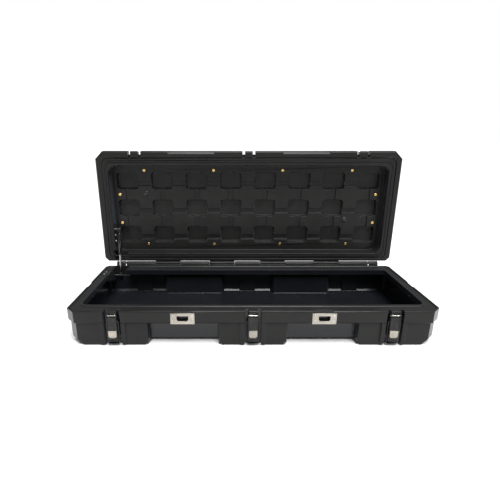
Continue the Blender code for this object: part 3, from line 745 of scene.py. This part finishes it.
@dataclass
class Latch:
    """One draw latch: bracket, pin, lever with its plate, bail and the catch on the lid."""

    number: int
    wire: float = 0.0025
    reach: float = 0.090
    half: float = 0.0225
    gap: float = 0.0150
    bend: float = 0.0035
    far_bend: float = 0.006
    seat: float = 0.0001
    rivet_height: float = 0.085
    rib_span: tuple[float, float] = (0.050, 0.116)
    rib_inset: tuple[float, float] = (0.0004, 0.0034)
    sunk: float = 0.0006
    lip_inset: float = 0.004
    web_half: float = 0.0306
    web_depth: tuple[float, float] = (0.0032, 0.0060)
    web_drop: tuple[float, float] = (0.0295, 0.0155)

    def build(self) -> None:
        """Build every piece of the latch."""
        lever = f"lever_{self.number}"
        self.sheet("latch_bracket", "bracket_ears", PLATE_STEEL, "base", 0.0005)
        self.sheet("latch_lever", "lever", LATCH_BLACK, lever, 0.0006)
        self.sheet("latch_face_plate", "lever_plate", PLATE_STEEL, lever, 0.0003)
        self.sheet("latch_catch", "catch_hook", PLATE_STEEL, "lid", 0.0005)
        self.pins()
        self.ribs()
        self.web()
        self.bail()

    def sheet(self, node: str, name: str, finish: Finish, body: str, edge: float) -> None:
        """Ease one pressed sheet piece.

        Args:
            node: CAD node's name, without its number.
            name: New piece's name, without its number.
            finish: Finish to dress it in.
            body: CAD body it moves with.
            edge: Width of the rounding.
        """
        bm = Shop.copy_of(f"{node}_{self.number}")
        Shop.ease(bm, edge, 2, least=40.0)
        Shop.deliver(bm, f"{name}_{self.number}", finish, body, f"{node}_{self.number}")

    def pins(self) -> None:
        """Build the lever's pin and the rivet on the lever."""
        node = f"latch_pin_{self.number}"
        low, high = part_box(node)
        half = (high[0] - low[0]) / 2.0
        end = [(0.0, half), (0.0022, half - 0.0001), (0.0030, half - 0.0008)]
        bm = Shop.moved(Shop.turned(Shop.both_ends(end), 20), Shop.middle(node), ALONG)
        Shop.deliver(bm, f"lever_pin_{self.number}", PIN_STEEL, "base", node)
        lever = f"latch_lever_{self.number}"
        face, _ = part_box(lever)
        foot = -0.0002
        cap = [(0.0, 0.0016), (0.0024, 0.0014), (0.0042, 0.0007), (0.0050, foot), (0.0, foot)]
        place = Vector((Shop.middle(lever).x, face[1] + self.seat, self.rivet_height))
        bm = Shop.moved(Shop.turned(cap, 24), place, FORWARD)
        Shop.deliver(bm, f"lever_rivet_{self.number}", LATCH_BLACK, f"lever_{self.number}")

    def web(self) -> None:
        """Add the thin web behind the bail's notches in the lid's latch channel."""
        middle = Shop.middle(f"latch_lever_{self.number}").x
        _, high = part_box("lid_shell")
        hinge, _ = Shop.joint("lid_hinge")
        near, far = (hinge.y + depth for depth in self.web_depth)
        foot, top = (high[2] - drop for drop in self.web_drop)
        shape = Shop.block((middle - self.web_half, near, foot),
                           (middle + self.web_half, far, top), 0.0006)
        Shop.deliver(shape, f"channel_web_{self.number}", SHELL, "lid")

    def ribs(self) -> None:
        """Add the pressed side ribs and the thumb lip on the lever."""
        low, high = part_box(f"latch_lever_{self.number}")
        middle = (low[0] + high[0]) / 2.0
        half = (high[0] - low[0]) / 2.0
        body = f"lever_{self.number}"
        foot, top = self.rib_span
        for i, side in enumerate((-1, 1), 1):
            left, right = sorted(middle + side * (half - inset) for inset in self.rib_inset)
            rib = Shop.block((left, low[1] - 0.0011, foot), (right, low[1] + self.sunk, top),
                             0.0007)
            Shop.deliver(rib, f"lever_rib_{self.number}_{i}", LATCH_BLACK, body)
        left, right = middle - half + self.lip_inset, middle + half - self.lip_inset
        lip = Shop.block((left, low[1] - 0.0012, low[2] + 0.0006),
                         (right, low[1] + self.sunk, low[2] + 0.0040), 0.0008)
        Shop.deliver(lip, f"lever_lip_{self.number}", WIRE_BLACK, body)

    def bail(self) -> None:
        """Build the bail as a bent round wire."""
        place, _ = Shop.joint(f"bail_pivot_{self.number}")
        curve = bpy.data.curves.new("bail_path", "CURVE")
        curve.dimensions = "3D"
        curve.bevel_depth = self.wire
        curve.bevel_resolution = 4
        curve.use_fill_caps = True
        path = self.path()
        spline = curve.splines.new("POLY")
        spline.points.add(len(path) - 1)
        for point, (x, z) in zip(spline.points, path):
            point.co = (place.x + x, place.y, place.z + z, 1.0)
        wire = bpy.data.objects.new("bail_path", curve)
        bpy.context.scene.collection.objects.link(wire)
        bm = bmesh.new()
        bm.from_mesh(wire.to_mesh())
        wire.to_mesh_clear()
        bpy.data.objects.remove(wire, do_unlink=True)
        bmesh.ops.remove_doubles(bm, verts=bm.verts, dist=MERGE)
        bmesh.ops.recalc_face_normals(bm, faces=bm.faces)
        name = f"bail_wire_{self.number}"
        Shop.deliver(bm, name, WIRE_BLACK, f"bail_{self.number}", f"latch_bail_{self.number}")

    def path(self) -> Profile:
        """Lay out the bail's centre line.

        Returns:
            Points across the case and up from the bail's pivot.
        """
        bend, far = self.bend, self.far_bend
        side = self.corner((self.half - bend, -bend), bend, (90.0, 0.0))
        side += self.corner((self.half - far, far - self.reach), far, (0.0, -90.0))
        half_path = [(self.gap, 0.0)] + side
        return half_path + [(-x, z) for x, z in reversed(half_path)]

    @staticmethod
    def corner(centre: tuple[float, float], radius: float, span: tuple[float, float]) -> Profile:
        """Lay out a bend of the wire.

        Args:
            centre: Centre of the bend, across and up.
            radius: Radius of the bend.
            span: Where it starts and ends, in degrees.

        Returns:
            Points round the bend.
        """
        (x, z), (start, end) = centre, span
        turns = [math.radians(start + (end - start) * step / 6) for step in range(7)]
        return [(x + radius * math.cos(turn), z + radius * math.sin(turn)) for turn in turns]


@dataclass
class LockPlate:
    """One lock plate with its four domed rivets."""

    number: int
    rivet_along: float = 0.036
    rivet_heights: tuple[float, float] = (0.1060, 0.1260)

    def build(self) -> None:
        """Build the plate and its rivets."""
        node = f"lock_plate_{self.number}"
        bm = Shop.copy_of(node)
        Shop.ease(bm, 0.0004, 2, least=40.0)
        Shop.deliver(bm, f"lock_face_{self.number}", PLATE_STEEL, "base", node)
        face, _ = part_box(node)
        middle = Shop.middle(node)
        foot = -0.0004
        cap = [(0.0, 0.0012), (0.0018, 0.0010), (0.0030, 0.0004), (0.0034, foot), (0.0, foot)]
        along = self.rivet_along
        spots = [(x, z) for x in (-along, along) for z in self.rivet_heights]
        for i, (x, z) in enumerate(spots, 1):
            place = Vector((middle.x + x, face[1], z))
            bm = Shop.moved(Shop.turned(cap, 20), place, FORWARD)
            Shop.deliver(bm, f"lock_rivet_{self.number}_{i}", PIN_STEEL, "base")


@dataclass
class Strut:
    """Gas strut at the left end, with its brackets and screws.

    Heights run up the strut's line from its lower pivot.
    """

    rod: float = 0.0045
    barrel: float = 0.0075
    eye: float = 0.0075
    rim: float = 0.0010
    play: float = 0.0003
    start: float = 0.1001
    end: float = 0.2081
    shoulder: float = 0.2190
    top: float = 0.2261
    foot: Vector = field(init=False)
    axis: Vector = field(init=False)

    def build(self) -> None:
        """Build the strut and its brackets."""
        self.foot, _ = Shop.joint("strut_swing")
        _, self.axis = Shop.joint("strut_stroke")
        self.axis.normalize()
        self.lower()
        self.upper()
        self.brackets()
        self.bolts()

    def bolts(self) -> None:
        """Add the domed screws beside the strut's brackets."""
        cap = [(0.0, 0.0014), (0.0026, 0.0013), (0.0044, 0.0008), (0.0050, 0.0), (0.0, 0.0)]
        base_low, base_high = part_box("strut_base_bracket")
        lid_low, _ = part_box("strut_lid_bracket")
        spots = []
        for along in (0.020, 0.052):
            place = Vector((base_low[0] + 0.011, base_low[1] + along, base_high[2] - 0.0004))
            spots.append((place, UP, "base"))
        for along in (0.018, 0.048):
            place = Vector((lid_low[0] + 0.004, lid_low[1] + 0.005, lid_low[2] + along))
            spots.append((place, FORWARD, "lid"))
        for i, (place, aim, body) in enumerate(spots, 1):
            bm = Shop.moved(Shop.turned(cap, 20), place, aim)
            Shop.deliver(bm, f"bracket_screw_{i}", BOLT_STEEL, body)

    def along(self, profile: Profile) -> Shape:
        """Return a profile turned about the strut's line."""
        return Shop.moved(Shop.turned(profile), self.foot, self.axis)

    def across(self, profile: Profile, height: float) -> Shape:
        """Return a profile turned about the long direction, at a height up the strut."""
        return Shop.moved(Shop.turned(profile), self.foot + height * self.axis, ALONG)

    def ring(self, half: float, bore: float) -> Profile:
        """Lay out the section of an eye.

        Args:
            half: Half of its width.
            bore: Radius of its hole, or 0 for none.

        Returns:
            Points of radius and height.
        """
        rim, eye = self.rim, self.eye
        wall = [(bore, -half), (eye - rim, -half), (eye, -half + rim), (eye, half - rim),
                (eye - rim, half), (bore, half)]
        return wall + ([(bore, -half)] if bore else [])

    def lower(self) -> None:
        """Build the rod with its eye."""
        rod = self.rod
        collar = [(0.0, 0.0045), (0.0050, 0.0045), (0.0058, 0.0060), (0.0058, 0.0125),
                  (0.0052, 0.0140), (0.0, 0.0140)]
        eye = Shop.fused(self.across(self.ring(0.006, rod + self.play), 0.0), self.along(collar))
        Shop.deliver(eye, "rod_eye", BRACKET_BLACK, "strut_rod")
        bar = [(0.0, 0.0138), (rod, 0.0138), (rod, 0.1142), (rod - 0.0008, 0.1150),
               (0.0, 0.1150)]
        Shop.deliver(self.along(bar), "rod_bar", ROD_CHROME, "strut_rod", "strut_rod")

    def upper(self) -> None:
        """Build the cylinder with its rolled end, shoulder and eye."""
        low, high, bore, out = self.start, self.end, self.rod + self.play, self.barrel
        wall = [(bore, low + 0.100), (bore, low + 0.0005), (bore + 0.0004, low), (0.0056, low),
                (0.0066, low + 0.0006), (out - 0.0002, low + 0.0022), (out, low + 0.0035),
                (out, low + 0.0105), (out - 0.0008, low + 0.0120), (out - 0.0008, low + 0.0130),
                (out, low + 0.0145), (out, high - 0.0035), (out - 0.0010, high - 0.0012),
                (out - 0.0030, high), (0.0050, high + 0.0006), (0.0050, self.shoulder),
                (0.0, self.shoulder), (0.0, low + 0.100)]
        barrel = self.along(wall)
        Shop.deliver(barrel, "strut_barrel", STRUT_BLACK, "strut_cylinder", "strut_cylinder")
        eye = self.across(self.ring(0.0092, 0.0), self.top)
        Shop.deliver(eye, "strut_upper_eye", BRACKET_BLACK, "strut_cylinder")

    def brackets(self) -> None:
        """Ease both brackets."""
        for node, body in (("strut_base_bracket", "base"), ("strut_lid_bracket", "lid")):
            bm = Shop.copy_of(node)
            Shop.ease(bm, 0.0004, 2, least=50.0)
            Shop.deliver(bm, f"{node}_plate", BRACKET_BLACK, body, node)


@dataclass
class LidFittings:
    """Threaded inserts and round domes on the lid's panel."""

    inserts: int = 12
    domes: int = 2
    depth: float = 0.0028

    def build(self) -> None:
        """Build the inserts and the domes."""
        for i in range(1, self.inserts + 1):
            self.insert(f"brass_insert_{i:02d}")
        for i in range(1, self.domes + 1):
            self.dome(f"vent_dome_{i}")

    def insert(self, node: str) -> None:
        """Build one insert: flanged, threaded inside.

        Args:
            node: CAD node that it stands for.
        """
        _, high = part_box(node)
        middle = Shop.middle(node)
        thread = [(0.0022 + 0.0003 * (i % 2), 0.0012 - 0.0004 * i) for i in range(7)]
        bore = [(0.0, -0.0014)] + thread[::-1]
        flange = [(0.0028, 0.0012), (0.0060, 0.0012), (0.0065, 0.0008), (0.0065, 0.0)]
        sleeve = [(0.0040, 0.0), (0.0040, -self.depth), (0.0, -self.depth)]
        place = Vector((middle.x, high[1] - self.depth, middle.z))
        bm = Shop.moved(Shop.turned(bore + flange + sleeve, 24), place, FORWARD)
        Shop.deliver(bm, f"{node}_collar", BRASS, "lid", node)

    def dome(self, node: str) -> None:
        """Build one dome with a stepped rim.

        Args:
            node: CAD node that it stands for.
        """
        _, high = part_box(node)
        middle = Shop.middle(node)
        turns = [math.radians(15 * step) for step in range(1, 7)]
        crown = [(0.0, 0.0057)]
        crown += [(0.0118 * math.sin(turn), 0.0012 + 0.0045 * math.cos(turn)) for turn in turns]
        rim = [(0.0120, 0.0010), (0.0130, 0.0009), (0.0135, 0.0005), (0.0135, 0.0), (0.0, 0.0)]
        place = Vector((middle.x, high[1], middle.z))
        bm = Shop.moved(Shop.turned(crown + rim, 40), place, FORWARD)
        Shop.deliver(bm, f"{node}_cap", CAP_BLACK, "lid", node)


@dataclass
class Studio:
    """Pale floor, soft lights and the camera."""

    eye: tuple[float, float, float] = (-0.0875, -1.5214, 0.7539)
    tilt: float = 72.387
    lens: float = 27.25
    shift: tuple[float, float] = (0.0405, 0.0136)
    overhead: float = 4.2
    overhead_size: float = 34.0
    overhead_lean: tuple[float, float] = (24.0, 8.0)
    room: float = 0.22
    floor_half: float = 60.0
    floor_level: float = -0.0005

    def build(self) -> None:
        """Build the studio."""
        self.camera()
        self.world()
        self.floor()
        self.sky_light()
        self.lamp("top_softbox", (0.1, 1.1, 2.3), (0.0, 0.1, 0.2), 1.6, 26.0)

    def sky_light(self) -> None:
        """Hang a very broad soft light overhead."""
        data = bpy.data.lights.new("overhead", "SUN")
        data.energy = self.overhead
        data.angle = math.radians(self.overhead_size)
        obj = bpy.data.objects.new("overhead", data)
        obj.rotation_euler = (*map(math.radians, self.overhead_lean), 0.0)
        bpy.context.scene.collection.objects.link(obj)

    def camera(self) -> None:
        """Place the camera."""
        data = bpy.data.cameras.new("camera")
        data.lens = self.lens
        data.sensor_width = 36.0
        data.shift_x, data.shift_y = self.shift
        obj = bpy.data.objects.new("camera", data)
        obj.location = self.eye
        obj.rotation_euler = (math.radians(self.tilt), 0.0, 0.0)
        bpy.context.scene.collection.objects.link(obj)
        bpy.context.scene.camera = obj

    def world(self) -> None:
        """Show a white room that lights the case only faintly."""
        world = bpy.data.worlds.new("studio")
        world.use_nodes = True
        tree = world.node_tree
        faint = tree.nodes["Background"]
        faint.inputs["Strength"].default_value = self.room
        white = tree.nodes.new("ShaderNodeBackground")
        for node in (faint, white):
            node.inputs["Color"].default_value = (1.0, 1.0, 1.0, 1.0)
        path = tree.nodes.new("ShaderNodeLightPath")
        mix = tree.nodes.new("ShaderNodeMixShader")
        tree.links.new(path.outputs["Is Camera Ray"], mix.inputs[0])
        tree.links.new(faint.outputs[0], mix.inputs[1])
        tree.links.new(white.outputs[0], mix.inputs[2])
        tree.links.new(mix.outputs[0], tree.nodes["World Output"].inputs[0])
        bpy.context.scene.world = world
        bpy.context.scene.view_settings.view_transform = "Standard"

    def floor(self) -> None:
        """Lay a pale floor."""
        bm = bmesh.new()
        bmesh.ops.create_grid(bm, x_segments=1, y_segments=1, size=self.floor_half)
        mesh = Shop.mesh_of(bm, "floor")
        obj = bpy.data.objects.new("floor", mesh)
        finish = bpy.data.materials.new("floor_white")
        finish.use_nodes = True
        shader = finish.node_tree.nodes["Principled BSDF"]
        shader.inputs["Base Color"].default_value = (0.90, 0.90, 0.90, 1.0)
        shader.inputs["Roughness"].default_value = 0.9
        mesh.materials.append(finish)
        obj.location = (0.0, 0.0, self.floor_level)
        bpy.context.scene.collection.objects.link(obj)

    @staticmethod
    def lamp(name: str, place: Sequence[float], target: Sequence[float], size: float,
             power: float) -> None:
        """Hang one square soft light.

        Args:
            name: Name of the light.
            place: Where it hangs.
            target: Where it points.
            size: Side of its square.
            power: Power in watts.
        """
        data = bpy.data.lights.new(name, "AREA")
        data.size = size
        data.energy = power
        obj = bpy.data.objects.new(name, data)
        obj.location = place
        aim = Vector(target) - Vector(place)
        obj.rotation_euler = aim.to_track_quat("-Z", "Y").to_euler()
        bpy.context.scene.collection.objects.link(obj)


def main() -> None:
    logging.basicConfig(level=logging.INFO, format="%(message)s")
    parts = [Shells(), Seal(), Hinge()]
    parts += [Latch(number) for number in (1, 2, 3)]
    parts += [LockPlate(number) for number in (1, 2)]
    parts += [Strut(), LidFittings(), Studio()]
    for part in parts:
        LOG.info("building %s", type(part).__name__)
        part.build()


if __name__ == "__main__":
    main()
